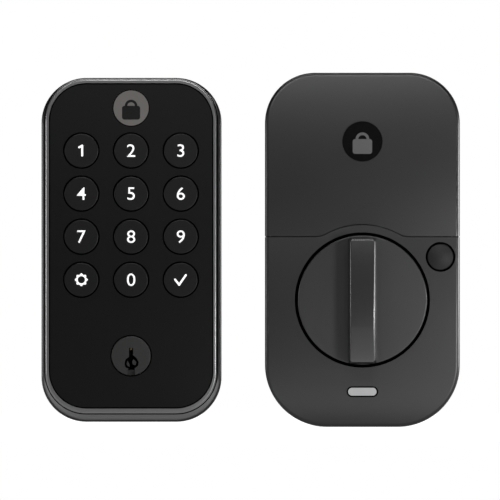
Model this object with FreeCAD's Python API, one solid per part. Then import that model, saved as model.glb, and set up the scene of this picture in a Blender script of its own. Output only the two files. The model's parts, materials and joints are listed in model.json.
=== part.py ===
"""Keypad smart lock: the keypad half and the thumbturn half, standing side by side.

The backs of both halves lie on one door plane, y = 0. +X is right, +Y goes into the door and
+Z is up. The origin is on the door plane, on the axis of the keypad half's key cylinder.
Each half is modelled about its own turning axis: the key cylinder's on the keypad half and the
thumbturn's on the other, which is then moved to its place. Lengths are in millimetres.
"""

import math
import os

import FreeCAD
import Part

V = FreeCAD.Vector
INTO_DOOR = V(0, 1, 0)

# ---- Where the thumbturn half stands, as seen from the key cylinder's axis ----
THUMBTURN_X = 97.2
THUMBTURN_Z = 23.5

# ---- Keypad half: outlines are (width, bottom, top, top radius, bottom radius) ----
FOOT_OUTLINE = (76.0, -28.0, 117.1, 19.0, 19.0)
LIP_OUTLINE = (74.6, -27.3, 116.8, 18.6, 18.6)
SHOULDER_OUTLINE = (72.6, -24.5, 116.6, 17.4, 17.4)
CAVITY_FOOT = (71.2, -25.6, 114.7, 16.6, 16.6)
CAVITY_FRONT = (68.2, -22.2, 114.3, 15.2, 15.2)
BEZEL_OUTLINE = (72.0, -24.2, 116.5, 17.1, 17.1)
BEZEL_OPENING = (69.2, -22.2, 114.7, 15.75, 15.75)
FACE_OUTLINE = (68.5, -21.8, 114.4, 15.4, 15.4)
BACK_PLATE_OUTLINE = (66.0, -22.9, 112.1, 14.0, 14.0)
GASKET_OUTLINE = (74.0, -27.0, 116.1, 18.0, 18.0)
GASKET_OPENING = (66.4, -23.1, 112.3, 14.2, 14.2)

FOOT_Y = -1.0
LIP_BACK_Y = -1.9
LIP_FRONT_Y = -2.7
SHOULDER_Y = -20.5
FRONT_WALL_BACK_Y = -18.0
BEZEL_FRONT_Y = -24.0
BEZEL_ROUND = 0.8
FACE_FRONT_Y = -23.5
BACK_PLATE_THICK = 2.0

# ---- Keys: three columns and four rows of round caps ----
KEY_PITCH_X = 20.9
KEY_PITCH_Z = 18.1
KEY_BOTTOM_ROW_Z = 32.0
KEY_NAMES = (
    ("key_settings", "key_0", "key_enter"),
    ("key_7", "key_8", "key_9"),
    ("key_4", "key_5", "key_6"),
    ("key_1", "key_2", "key_3"),
)
KEY_CAP_R = 7.1
KEY_HOLE_R = 7.7
KEY_FLANGE_R = 8.3
KEY_STEM_R = 1.9
KEY_FRONT_Y = -24.3
KEY_FLANGE_BACK_Y = -19.5
KEY_STEM_END_Y = -17.1
KEY_EDGE_ROUND = 0.35
KEY_WINDOW = (58.8, 23.5, 94.8, 3.0, 3.0)

LIGHT_GUIDE_OUTLINE = (60.4, 22.8, 95.5, 3.0, 3.0)
LIGHT_GUIDE_BACK_Y = -16.9
LIGHT_GUIDE_HOLE_R = 2.6
BOARD_OUTLINE = (64.0, 19.3, 99.5, 3.0, 3.0)
BOARD_FRONT_Y = -15.6
BOARD_BACK_Y = -14.0
BOARD_PILLARS = ((-26.0, 21.0), (26.0, 21.0), (-26.0, 97.5), (26.0, 97.5))
BOARD_PILLAR_R = 1.6
DOME_R = 2.2
DOME_HEIGHT = 0.7

# ---- Badges: plain discs that carry no mark ----
BADGE_Z = 104.2
BADGE_R = 7.4
BADGE_RECESS_R = 7.8
BADGE_RECESS_DEPTH = 1.3

# ---- Key cylinder ----
CYLINDER_HOLE_R = 8.75
PLUG_HEAD_R = 8.25
PLUG_HEAD_FRONT_Y = -23.9
PLUG_R = 6.3
PLUG_BORE_R = 6.35
BARREL_R = 9.6
BARREL_FRONT_Y = -20.4
BARREL_BACK_Y = 8.0
CHAMBER_HALF_W = 4.5
CHAMBER_TOP_Z = 18.2
PIN_COUNT = 5
PIN_PITCH = 4.0
PIN_FIRST_Y = -16.5
PIN_R = 1.45
PIN_HOLE_R = 1.5
PIN_HOLE_BOTTOM_Z = 2.0
KEY_PIN_TIP_Z = 2.3
KEY_PIN_TOP_Z = 6.15
DRIVER_PIN_BOTTOM_Z = 6.4
DRIVER_PIN_TOP_Z = 10.4
SPRING_TOP_Z = 16.8
KEYWAY_DEPTH = 26.0
KEYWAY_FOOT_DEPTH = 2.7
TAILPIECE_W = 6.0
TAILPIECE_T = 2.0
TAILPIECE_END_Y = 56.0

# ---- Fixings of the keypad half ----
POST_SPACING = 38.0
POST_R = 4.5
POST_END_Y = 14.0
POST_THREAD_R = 2.0
PLATE_SCREWS = ((-25.0, -14.0), (25.0, -14.0), (-25.0, 106.0), (25.0, 106.0))
PLATE_SCREW_R = 1.5
PLATE_SCREW_HEAD_R = 3.0
GROMMET_Z = -17.5
GROMMET_R = 4.8
GROMMET_BORE_R = 3.2

# ---- Thumbturn half, measured from the thumbturn's axis ----
COVER_OUTLINE = (81.8, -53.3, 95.5, 21.0, 26.0)
COVER_CAVITY = (77.4, -51.1, 93.3, 18.8, 23.8)
COVER_FRONT_Y = -32.0
COVER_CAVITY_FRONT_Y = -29.6
COVER_FOOT_Y = -0.3
COVER_EDGE_ROUND = 1.6
COVER_CROWN = 1.6
PARTING_Z = 26.4
PARTING_GAP = 0.35
STEP_FRONT_Y = -24.0
STEP_LIP_BACK_Y = -11.0
STEP_SETBACK = 0.3
ARCH_R = 31.5
ARCH_BLEND_R = 8.0
DOOR_ARROW = (8.0, 4.6, 38.0)
DOOR_ARROW_FLOOR_Y = -31.35
DOOR_BADGE_Z = 66.6
DOOR_BADGE_R = 8.4
CHASSIS_OUTLINE = (76.4, -50.4, 92.6, 18.2, 23.2)
CHASSIS_INSIDE = (73.2, -48.8, 91.0, 16.6, 21.6)
CHASSIS_FLOOR_FRONT_Y = -4.5
CHASSIS_WALL_FRONT_Y = -10.0
MOUNTING_PLATE_OUTLINE = (75.0, -49.6, 91.8, 17.5, 22.5)
MOUNTING_PLATE_THICK = 2.5
THROUGH_BOLT_R = 2.2
CABLE_WINDOW = (14.0, 14.0, 22.0, 2.0, 2.0)
CHASSIS_SCREWS = ((-28.0, -34.0), (28.0, -34.0), (-33.5, 60.0), (33.5, 60.0))
GEARBOX_PILLARS = ((-9.0, 21.0), (22.5, 8.0), (20.0, -18.0), (-29.0, -8.0), (-12.0, -33.0))
MAIN_BOARD_OUTLINE = (54.0, 32.0, 86.0, 3.0, 3.0)
MAIN_BOARD_FRONT_Y = -9.0
MAIN_BOARD_BACK_Y = -7.4
MAIN_BOARD_PILLARS = ((-24.0, 36.0), (24.0, 36.0), (-24.0, 80.0), (24.0, 80.0))
BUTTON_BOARD_FRONT_Y = -20.0
BUTTON_BOARD_BACK_Y = -18.4
STATUS_BOARD_FRONT_Y = -26.8
STATUS_BOARD_BACK_Y = -25.6
COVER_BOSSES = ((-34.4, 4.0), (34.4, 4.0), (-22.0, -42.0), (22.0, -42.0))

# ---- Thumbturn and its gear train ----
DISC_R = 27.1
DISC_HOLE_R = 28.4
DISC_FRONT_Y = -32.8
DISC_BACK_Y = -30.0
PADDLE_FOOT = (12.3, -26.8, 26.3)
PADDLE_FRONT = (10.4, -26.0, 25.6)
PADDLE_CORNER_R = 1.3
PADDLE_FRONT_Y = -46.8
PADDLE_CROWN = 1.5
PADDLE_EDGE_ROUND = 0.6
HUB_R = 6.5
HUB_FLANGE_R = 30.2
JOURNAL_R = 5.0
RUNNING_GAP = 0.06
HUB_SLOT = (2.6, 6.6, 22.0)
GEAR_MODULE = 0.8
GEAR_FRONT_Y = -12.0
GEAR_BACK_Y = -8.0
OUTPUT_TEETH = 40
IDLER_TEETH = 20
PINION_TEETH = 12
GEAR_CENTRE_EXTRA = 0.1
IDLER_DIRECTION = 230.0
PINION_DIRECTION = 200.0
GEARBOX_PLATE_FRONT_Y = -14.6
GEARBOX_PLATE_BACK_Y = -13.0
IDLER_AXLE_R = 1.5
MOTOR_SHAFT_R = 1.0
MOTOR_R = 7.5
MOTOR_FRONT_Y = -27.4

# ---- Batteries: four AA cells side by side ----
CELL_R = 7.2
CELL_BODY_LENGTH = 49.2
CELL_NUB_LENGTH = 1.3
CELL_NUB_R = 2.7
CELL_PITCH = 14.7
CELL_COUNT = 4
TRAY_HALF_W = 30.8
TRAY_BOTTOM_Z = 30.6
TRAY_TOP_Z = 87.5
TRAY_WALL = 1.3
TRAY_FRONT_Y = -27.2
TRAY_BACK_Y = -11.0
CELL_AXIS_Y = -19.5
CONTACT_T = 0.4

# ---- Privacy button and status light ----
BUTTON_X, BUTTON_Z = 32.8, 18.1
BUTTON_R = 5.25
BUTTON_HOLE_R = 6.25
BUTTON_FRONT_Y = -32.2
BUTTON_DOME_R = 17.0
LENS_Z = -38.5
LENS_W, LENS_H = 12.5, 3.7
LENS_GAP = 0.4


# ---- Building blocks ----
def outline(shape, y, x=0.0, grow=0.0):
    """Rounded rectangle at depth y. shape is (width, bottom, top, top radius, bottom radius)."""
    width, bottom, top, r_top, r_bottom = shape
    half = width / 2 + grow
    bottom -= grow
    top += grow
    r_top += grow
    r_bottom += grow
    corners = (
        (half - r_bottom, bottom + r_bottom, r_bottom, -90),
        (half - r_top, top - r_top, r_top, 0),
        (-half + r_top, top - r_top, r_top, 90),
        (-half + r_bottom, bottom + r_bottom, r_bottom, 180),
    )
    edges = []
    points = []
    for cx, cz, radius, start in corners:
        trio = []
        for step in (0, 45, 90):
            angle = math.radians(start + step)
            trio.append(V(x + cx + radius * math.cos(angle), y, cz + radius * math.sin(angle)))
        points.append(trio)
    for index, trio in enumerate(points):
        edges.append(Part.Arc(*trio).toShape())
        edges.append(Part.LineSegment(trio[2], points[(index + 1) % 4][0]).toShape())
    return Part.Wire(edges)


def slab(shape, y_front, y_back, x=0.0, grow=0.0):
    """Rounded rectangle with parallel walls between two depths."""
    face = Part.Face(outline(shape, y_front, x, grow))
    return face.extrude(V(0, y_back - y_front, 0))


def disc(x, z, radius, y_front, y_back):
    return Part.makeCylinder(radius, y_back - y_front, V(x, y_front, z), INTO_DOOR)


def ring(x, z, r_out, r_in, y_front, y_back):
    return disc(x, z, r_out, y_front, y_back).cut(disc(x, z, r_in, y_front, y_back))


def block(x_low, x_high, y_low, y_high, z_low, z_high):
    return Part.makeBox(x_high - x_low, y_high - y_low, z_high - z_low, V(x_low, y_low, z_low))


def loft(*sections):
    return Part.makeLoft(list(sections), True, True)


def union(shapes):
    shapes = list(shapes)
    if len(shapes) == 1:
        return shapes[0]
    return shapes[0].multiFuse(shapes[1:]).removeSplitter()


def prism(points, y_front, y_back):
    """Straight-sided prism from (x, z) points."""
    corners = [V(x, y_front, z) for x, z in points]
    face = Part.Face(Part.makePolygon(corners + corners[:1]))
    return face.extrude(V(0, y_back - y_front, 0))


def round_front(solid, y, radius):
    """Rounds the outer edges that lie in the plane at depth y."""
    edges = [e for e in solid.Edges if all(abs(v.Y - y) < 1e-4 for v in e.Vertexes)]
    return solid.makeFillet(radius, edges)


def crown(solid, y_front, z_low, z_high, sag, reach=60.0):
    """Keeps what lies behind a gently arched front that is highest midway between two heights."""
    low, top = V(-reach, y_front + sag, z_low), V(-reach, y_front + sag, z_high)
    arc = Part.Arc(low, V(-reach, y_front, (z_low + z_high) / 2), top).toShape()
    back = 10.0
    ends = [top, V(-reach, back, z_high), V(-reach, back, z_low), low]
    sides = [Part.LineSegment(a, b).toShape() for a, b in zip(ends, ends[1:])]
    return solid.common(Part.Face(Part.Wire([arc] + sides)).extrude(V(2 * reach, 0, 0)))


def coil(x, y, z_low, z_high, radius, wire_r, turns):
    """Round-wire compression spring along Z."""
    pitch = (z_high - z_low - 2 * wire_r) / turns
    spine = Part.Wire(Part.makeHelix(pitch, pitch * turns, radius))
    profile = Part.Wire(Part.makeCircle(wire_r, V(radius, 0, 0), INTO_DOOR))
    spring = spine.makePipeShell([profile], True, True)
    spring.translate(V(x, y, z_low + wire_r))
    return spring


def countersunk_screw(x, z, y_head, length, radius, head_r, drive_r=1.1):
    """Flat-head screw whose head is flush at y_head and whose shank runs towards the viewer."""
    head = Part.makeCone(head_r, radius, head_r - radius, V(x, y_head, z), V(0, -1, 0))
    shank = disc(x, z, radius, y_head - length, y_head - (head_r - radius))
    drive = disc(x, z, drive_r, y_head - 0.8, y_head)
    return union([head, shank]).cut(drive)


def cap_screw(x, z, y_seat, length, radius, head_r, head_height):
    """Pan-head screw seated at y_seat, with its shank going towards the door."""
    head = disc(x, z, head_r, y_seat - head_height, y_seat)
    shank = disc(x, z, radius, y_seat, y_seat + length)
    drive = disc(x, z, head_r * 0.4, y_seat - head_height, y_seat - head_height + 0.7)
    return union([head, shank]).cut(drive)


def involute_angle(base_r, radius):
    """Angle that an involute flank has turned by, in radians, from its start out to a radius."""
    roll = math.sqrt(max((radius / base_r) ** 2 - 1.0, 0.0))
    return roll - math.atan(roll)


def gear(teeth, x, z, phase, bore_r, y_front, y_back, backlash=0.12):
    """Spur gear with involute teeth; one tooth is centred on the direction phase (degrees)."""
    pitch_r = GEAR_MODULE * teeth / 2
    base_r = pitch_r * math.cos(math.radians(20))
    root_r = pitch_r - 1.25 * GEAR_MODULE
    tip_r = pitch_r + 0.9 * GEAR_MODULE
    roll = math.tan(math.radians(20)) - math.radians(20)
    half_tooth = math.pi / (2 * teeth) - backlash / (2 * pitch_r)
    flank_radii = [max(base_r, root_r) + (tip_r - max(base_r, root_r)) * t for t in (0, 0.35, 0.7, 1)]
    outline_points = []
    for tooth in range(teeth):
        centre = math.radians(phase) + 2 * math.pi * tooth / teeth
        rising = [(r, half_tooth + roll - involute_angle(base_r, r)) for r in flank_radii]
        root_angle = 0.6 * rising[0][1] + 0.4 * math.pi / teeth
        side = [(root_r, root_angle)] + rising
        for radius, angle in side:
            outline_points.append((radius, centre - angle))
        for radius, angle in reversed(side):
            outline_points.append((radius, centre + angle))
    points = [(x + r * math.cos(a), z + r * math.sin(a)) for r, a in outline_points]
    body = prism(points, y_front, y_back)
    if bore_r:
        body = body.cut(disc(x, z, bore_r, y_front, y_back))
    return body


# ---- Keypad half ----
def key_positions():
    """Yields each key's node name and its (x, z)."""
    for row, names in enumerate(KEY_NAMES):
        for column, name in enumerate(names):
            yield name, (column - 1) * KEY_PITCH_X, KEY_BOTTOM_ROW_Z + row * KEY_PITCH_Z


def chamber_slot(y_front, y_back, gap=0.0):
    """Space that the barrel and its pin chamber take between two depths."""
    barrel = disc(0, 0, BARREL_R + gap, y_front, y_back)
    half = CHAMBER_HALF_W + gap
    return barrel.fuse(block(-half, half, y_front, y_back, 0, CHAMBER_TOP_Z + gap))


def exterior_housing():
    shell = loft(
        outline(FOOT_OUTLINE, FOOT_Y),
        outline(FOOT_OUTLINE, LIP_BACK_Y),
        outline(LIP_OUTLINE, LIP_FRONT_Y),
        outline(SHOULDER_OUTLINE, SHOULDER_Y),
    )
    shell = shell.cut(loft(outline(CAVITY_FOOT, FOOT_Y), outline(CAVITY_FRONT, FRONT_WALL_BACK_Y)))
    shell = shell.cut(slab(KEY_WINDOW, SHOULDER_Y, FRONT_WALL_BACK_Y))
    shell = shell.cut(chamber_slot(SHOULDER_Y, FRONT_WALL_BACK_Y, 0.1))
    pillars = [disc(x, z, BOARD_PILLAR_R, FRONT_WALL_BACK_Y, BOARD_FRONT_Y) for x, z in BOARD_PILLARS]
    bosses = [disc(x, z, 3.4, FRONT_WALL_BACK_Y, -BACK_PLATE_THICK) for x, z in PLATE_SCREWS]
    shell = union([shell] + pillars + bosses)
    for x, z in PLATE_SCREWS:
        shell = shell.cut(disc(x, z, PLATE_SCREW_R, -9.0, -BACK_PLATE_THICK))
    return shell


def exterior_bezel():
    frame = slab(BEZEL_OUTLINE, BEZEL_FRONT_Y, SHOULDER_Y)
    frame = round_front(frame, BEZEL_FRONT_Y, BEZEL_ROUND)
    return frame.cut(slab(BEZEL_OPENING, BEZEL_FRONT_Y, SHOULDER_Y))


def keypad_face():
    plate = slab(FACE_OUTLINE, FACE_FRONT_Y, SHOULDER_Y)
    plate = round_front(plate, FACE_FRONT_Y, 0.25)
    holes = [disc(x, z, KEY_HOLE_R, FACE_FRONT_Y, SHOULDER_Y) for _, x, z in key_positions()]
    holes.append(disc(0, 0, CYLINDER_HOLE_R, FACE_FRONT_Y, SHOULDER_Y))
    recess_floor = FACE_FRONT_Y + BADGE_RECESS_DEPTH
    holes.append(disc(0, BADGE_Z, BADGE_RECESS_R, FACE_FRONT_Y, recess_floor))
    return plate.cut(Part.makeCompound(holes))


def key(x, z):
    cap = round_front(disc(x, z, KEY_CAP_R, KEY_FRONT_Y, SHOULDER_Y), KEY_FRONT_Y, KEY_EDGE_ROUND)
    flange = disc(x, z, KEY_FLANGE_R, SHOULDER_Y, KEY_FLANGE_BACK_Y)
    stem = disc(x, z, KEY_STEM_R, KEY_FLANGE_BACK_Y, KEY_STEM_END_Y)
    return union([cap, flange, stem])


def keypad_internals():
    places = [(x, z) for _, x, z in key_positions()]
    guide = slab(LIGHT_GUIDE_OUTLINE, FRONT_WALL_BACK_Y, LIGHT_GUIDE_BACK_Y)
    guide = guide.cut(Part.makeCompound(
        [disc(x, z, LIGHT_GUIDE_HOLE_R, FRONT_WALL_BACK_Y, LIGHT_GUIDE_BACK_Y) for x, z in places]))
    board = slab(BOARD_OUTLINE, BOARD_FRONT_Y, BOARD_BACK_Y)
    domes = [disc(x, z, DOME_R, BOARD_FRONT_Y - DOME_HEIGHT, BOARD_FRONT_Y) for x, z in places]
    leds = [
        block(x + 4.0, x + 5.6, BOARD_FRONT_Y - 0.6, BOARD_FRONT_Y, z + 4.0, z + 4.8)
        for x, z in places
    ]
    chips = union([
        block(-5, 5, BOARD_BACK_Y, BOARD_BACK_Y + 1.2, 60, 70),
        block(-5, 5, BOARD_BACK_Y, BOARD_BACK_Y + 0.8, 70, 76),
        block(12, 22, BOARD_BACK_Y, BOARD_BACK_Y + 4.0, 24, 30),
        block(12, 22, BOARD_BACK_Y, BOARD_BACK_Y + 1.5, 30, 40),
    ])
    return {
        "keypad_light_guide": guide,
        "keypad_board": board,
        "key_switches": Part.makeCompound(domes),
        "key_leds": Part.makeCompound(leds),
        "keypad_chips": chips,
    }


def keyway():
    """Warded slot: straight at the top, an S-shaped belly, open at the foot of the plug."""
    top = [(-0.85, 3.3), (0.85, 3.3), (0.85, 0.2)]
    right = [(2.3, -0.9), (3.2, -2.6), (2.9, -4.2), (1.5, -5.2), (1.6, -5.9)]
    left = [(-1.5, -5.9), (-1.0, -5.4), (-2.3, -4.9), (-2.8, -3.4), (-2.2, -1.4)]
    slot = prism(top + right + left + [(-0.85, -0.4)], PLUG_HEAD_FRONT_Y, PLUG_HEAD_FRONT_Y + KEYWAY_DEPTH)
    slot = slot.fuse(block(-1.5, 1.6, PLUG_HEAD_FRONT_Y, PLUG_HEAD_FRONT_Y + KEYWAY_FOOT_DEPTH, -9.0, -5.8))
    ward_r = [(1.0, -1.4), (2.2, -2.6), (1.9, -4.0), (0.7, -3.6), (0.4, -2.4)]
    ward_l = [(-0.5, -4.7), (-1.5, -4.2), (-1.9, -3.4), (-1.5, -2.0), (-0.9, -3.0)]
    end_y = PLUG_HEAD_FRONT_Y + KEYWAY_DEPTH
    return slot.cut(prism(ward_r, PLUG_HEAD_FRONT_Y, end_y)).cut(prism(ward_l, PLUG_HEAD_FRONT_Y, end_y))


def key_cylinder():
    pins_y = [PIN_FIRST_Y + PIN_PITCH * i for i in range(PIN_COUNT)]
    barrel = chamber_slot(BARREL_FRONT_Y, BARREL_BACK_Y)
    barrel = barrel.fuse(disc(0, 0, 13.0, -4.0, -BACK_PLATE_THICK)).removeSplitter()
    barrel = barrel.cut(disc(0, 0, PLUG_BORE_R, BARREL_FRONT_Y, BARREL_BACK_Y))
    plug = union([
        disc(0, 0, PLUG_HEAD_R, PLUG_HEAD_FRONT_Y, BARREL_FRONT_Y - 0.1),
        disc(0, 0, PLUG_R, BARREL_FRONT_Y - 0.1, BARREL_BACK_Y + 0.05),
    ])
    plug = round_front(plug, PLUG_HEAD_FRONT_Y, 0.3)
    plug = plug.cut(keyway())
    key_pins, driver_pins, springs = [], [], []
    for y in pins_y:
        barrel = barrel.cut(Part.makeCylinder(PIN_HOLE_R, SPRING_TOP_Z - 5.0, V(0, y, 5.0)))
        plug = plug.cut(Part.makeCylinder(PIN_HOLE_R, 6.0, V(0, y, PIN_HOLE_BOTTOM_Z)))
        key_pins.append(Part.makeCylinder(PIN_R, KEY_PIN_TOP_Z - KEY_PIN_TIP_Z, V(0, y, KEY_PIN_TIP_Z)))
        driver_length = DRIVER_PIN_TOP_Z - DRIVER_PIN_BOTTOM_Z
        driver_pins.append(Part.makeCylinder(PIN_R, driver_length, V(0, y, DRIVER_PIN_BOTTOM_Z)))
        springs.append(coil(0, y, DRIVER_PIN_TOP_Z, SPRING_TOP_Z, 1.05, 0.25, 4))
    half_w, half_t = TAILPIECE_W / 2, TAILPIECE_T / 2
    clip_y = BARREL_BACK_Y + 0.05
    clip = disc(0, 0, 7.6, clip_y, clip_y + 1.8)
    tail_slot = block(-half_t, half_t, clip_y, clip_y + 1.8, -half_w, half_w)
    tail = block(-half_t, half_t, clip_y, TAILPIECE_END_Y, -half_w, half_w)
    return {
        "cylinder_body": barrel,
        "cylinder_plug": plug,
        "key_pins": Part.makeCompound(key_pins),
        "driver_pins": Part.makeCompound(driver_pins),
        "pin_springs": Part.makeCompound(springs),
        "tailpiece": tail,
        "tailpiece_clip": clip.cut(tail_slot),
    }


def exterior_fixings():
    half = POST_SPACING / 2
    plate = slab(BACK_PLATE_OUTLINE, -BACK_PLATE_THICK, 0.0)
    plate = plate.cut(chamber_slot(-BACK_PLATE_THICK, 0.0, 0.1))
    plate = plate.cut(disc(0, GROMMET_Z, GROMMET_R, -BACK_PLATE_THICK, 0.0))
    posts = []
    for x in (-half, half):
        plate = plate.cut(disc(x, 0, POST_R + 0.05, -BACK_PLATE_THICK, 0.0))
        posts.append(ring(x, 0, POST_R, POST_THREAD_R, -BACK_PLATE_THICK, POST_END_Y))
    screws = []
    for x, z in PLATE_SCREWS:
        screw = countersunk_screw(x, z, 0.0, 8.5, PLATE_SCREW_R, PLATE_SCREW_HEAD_R)
        sink = Part.makeCone(PLATE_SCREW_HEAD_R, PLATE_SCREW_R, 1.5, V(x, 0, z), V(0, -1, 0))
        plate = plate.cut(sink).cut(disc(x, z, PLATE_SCREW_R, -BACK_PLATE_THICK, 0.0))
        screws.append(screw)
    gasket = slab(GASKET_OUTLINE, FOOT_Y, 0.0).cut(slab(GASKET_OPENING, FOOT_Y, 0.0))
    grommet = union([
        disc(0, GROMMET_Z, GROMMET_R, -BACK_PLATE_THICK, 0.0),
        disc(0, GROMMET_Z, GROMMET_R - 0.3, -3.2, -BACK_PLATE_THICK),
    ]).cut(disc(0, GROMMET_Z, GROMMET_BORE_R, -3.2, 0.0))
    return {
        "exterior_back_plate": plate,
        "exterior_gasket": gasket,
        "mounting_posts": Part.makeCompound(posts),
        "exterior_screws": Part.makeCompound(screws),
        "cable_grommet": grommet,
    }


def exterior_parts():
    parts = {
        "exterior_housing": exterior_housing(),
        "exterior_bezel": exterior_bezel(),
        "keypad_face": keypad_face(),
        "exterior_badge": disc(0, BADGE_Z, BADGE_R, FACE_FRONT_Y - 0.15, FACE_FRONT_Y + BADGE_RECESS_DEPTH),
    }
    for name, x, z in key_positions():
        parts[name] = key(x, z)
    parts.update(keypad_internals())
    parts.update(key_cylinder())
    parts.update(exterior_fixings())
    return parts


# ---- Thumbturn half ----
def below_parting(lift=0.0):
    """Everything under the parting line, which arches over the thumbturn."""
    blend_z = PARTING_Z + ARCH_BLEND_R
    reach = ARCH_R + ARCH_BLEND_R
    blend_x = math.sqrt(reach ** 2 - blend_z ** 2)
    touch_x, touch_z = blend_x * ARCH_R / reach, blend_z * ARCH_R / reach
    middle = math.atan2(blend_z - touch_z, blend_x - touch_x)
    middle_angle = (middle + math.pi + 1.5 * math.pi) / 2
    wide, low = 60.0, -80.0
    front, depth = -60.0, 80.0

    def at(x, z):
        return V(x, front, z + lift)

    def blend_point(side):
        x = blend_x + ARCH_BLEND_R * math.cos(middle_angle)
        z = blend_z + ARCH_BLEND_R * math.sin(middle_angle)
        return at(side * x, z)

    right_line = Part.LineSegment(at(wide, PARTING_Z), at(blend_x, PARTING_Z))
    right_blend = Part.Arc(at(blend_x, PARTING_Z), blend_point(1), at(touch_x, touch_z))
    arch = Part.Arc(at(touch_x, touch_z), at(0, ARCH_R), at(-touch_x, touch_z))
    left_blend = Part.Arc(at(-touch_x, touch_z), blend_point(-1), at(-blend_x, PARTING_Z))
    left_line = Part.LineSegment(at(-blend_x, PARTING_Z), at(-wide, PARTING_Z))
    corners = [at(-wide, PARTING_Z), at(-wide, low), at(wide, low), at(wide, PARTING_Z)]
    sides = [Part.LineSegment(a, b) for a, b in zip(corners, corners[1:])]
    edges = [c.toShape() for c in [right_line, right_blend, arch, left_blend, left_line] + sides]
    return Part.Face(Part.Wire(edges)).extrude(V(0, depth, 0))


def crowned_shell(z_low, z_high, z_cut):
    """Hollow cover, arched between two heights; its front edge is rounded but for the cut at z_cut."""
    solid = slab(COVER_OUTLINE, COVER_FRONT_Y - 2.0, COVER_FOOT_Y)
    solid = crown(solid, COVER_FRONT_Y, z_low, z_high, COVER_CROWN)
    rim = [e for e in solid.Edges if e.BoundBox.YMax < COVER_FRONT_Y + 12.0]
    rim = [e for e in rim if abs(e.BoundBox.ZMin - z_cut) > 0.01 or abs(e.BoundBox.ZMax - z_cut) > 0.01]
    solid = solid.makeFillet(COVER_EDGE_ROUND, rim)
    return solid.cut(slab(COVER_CAVITY, COVER_CAVITY_FRONT_Y, COVER_FOOT_Y))


def parting_steps():
    """Lips on the side walls that close the parting gap behind the battery cover's foot."""
    outside, inside = COVER_OUTLINE[0] / 2 - STEP_SETBACK, COVER_CAVITY[0] / 2
    low, high = PARTING_Z - 0.5, PARTING_Z + PARTING_GAP
    steps = []
    for near, far, y_back in ((inside, outside, COVER_FOOT_Y), (inside - 1.0, inside, STEP_LIP_BACK_Y)):
        for x_low, x_high in ((near, far), (-far, -near)):
            steps.append(block(x_low, x_high, STEP_FRONT_Y, y_back, low, high))
    return steps


def interior_cover():
    shell = crowned_shell(COVER_OUTLINE[1] - 1.0, ARCH_R + 1.0, ARCH_R + 1.0).common(below_parting())
    lens_hole = (LENS_W + 2 * LENS_GAP, LENS_Z - LENS_H / 2 - LENS_GAP, LENS_Z + LENS_H / 2 + LENS_GAP)
    radius = LENS_H / 2 + LENS_GAP - 0.01
    lens_hole = lens_hole + (radius, radius)
    shell = shell.cut(disc(0, 0, DISC_HOLE_R, -40, COVER_CAVITY_FRONT_Y))
    shell = shell.cut(disc(BUTTON_X, BUTTON_Z, BUTTON_HOLE_R, -40, COVER_CAVITY_FRONT_Y))
    shell = shell.cut(slab(lens_hole, -40, COVER_CAVITY_FRONT_Y))
    bosses = [disc(x, z, 2.0, COVER_CAVITY_FRONT_Y, CHASSIS_FLOOR_FRONT_Y) for x, z in COVER_BOSSES]
    return union([shell] + bosses + parting_steps())


def battery_cover():
    shell = crowned_shell(PARTING_Z - 1.0, COVER_OUTLINE[2] + 1.0, PARTING_Z - 1.0)
    shell = shell.cut(below_parting(PARTING_GAP))
    shell = shell.cut(disc(0, DOOR_BADGE_Z, DOOR_BADGE_R + 0.1, -40, COVER_FRONT_Y + 0.6))
    width, height, z = DOOR_ARROW
    foot_z = z - height / 2
    arrow = [(-width / 2, foot_z), (width / 2, foot_z), (0, z + height / 2)]
    return shell.cut(prism(arrow, -40, DOOR_ARROW_FLOOR_Y))


def chassis():
    tray = slab(CHASSIS_OUTLINE, CHASSIS_WALL_FRONT_Y, -MOUNTING_PLATE_THICK)
    tray = tray.cut(slab(CHASSIS_INSIDE, CHASSIS_WALL_FRONT_Y, CHASSIS_FLOOR_FRONT_Y))
    tray = tray.cut(disc(0, 0, JOURNAL_R + RUNNING_GAP, CHASSIS_FLOOR_FRONT_Y, -MOUNTING_PLATE_THICK))
    for x in (-POST_SPACING / 2, POST_SPACING / 2):
        tray = tray.cut(disc(x, 0, 4.6, CHASSIS_FLOOR_FRONT_Y, -MOUNTING_PLATE_THICK))
    return tray.cut(slab(CABLE_WINDOW, CHASSIS_FLOOR_FRONT_Y, -MOUNTING_PLATE_THICK))


def meshing_centres():
    """Axes and tooth phases of the idler and the pinion, in mesh with the thumbturn's gear."""
    first = math.radians(IDLER_DIRECTION)
    second = math.radians(PINION_DIRECTION)
    reach_1 = GEAR_MODULE * (OUTPUT_TEETH + IDLER_TEETH) / 2 + GEAR_CENTRE_EXTRA
    reach_2 = GEAR_MODULE * (IDLER_TEETH + PINION_TEETH) / 2 + GEAR_CENTRE_EXTRA
    idler = (reach_1 * math.cos(first), reach_1 * math.sin(first))
    pinion = (idler[0] + reach_2 * math.cos(second), idler[1] + reach_2 * math.sin(second))
    idler_phase = IDLER_DIRECTION + 180.0 + 180.0 / IDLER_TEETH
    step = 360.0 / IDLER_TEETH
    nearest = round((PINION_DIRECTION - idler_phase) / step)
    lead = idler_phase + nearest * step - PINION_DIRECTION
    pinion_phase = PINION_DIRECTION + 180.0 - lead * IDLER_TEETH / PINION_TEETH + 180.0 / PINION_TEETH
    return idler, idler_phase, pinion, pinion_phase


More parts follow.
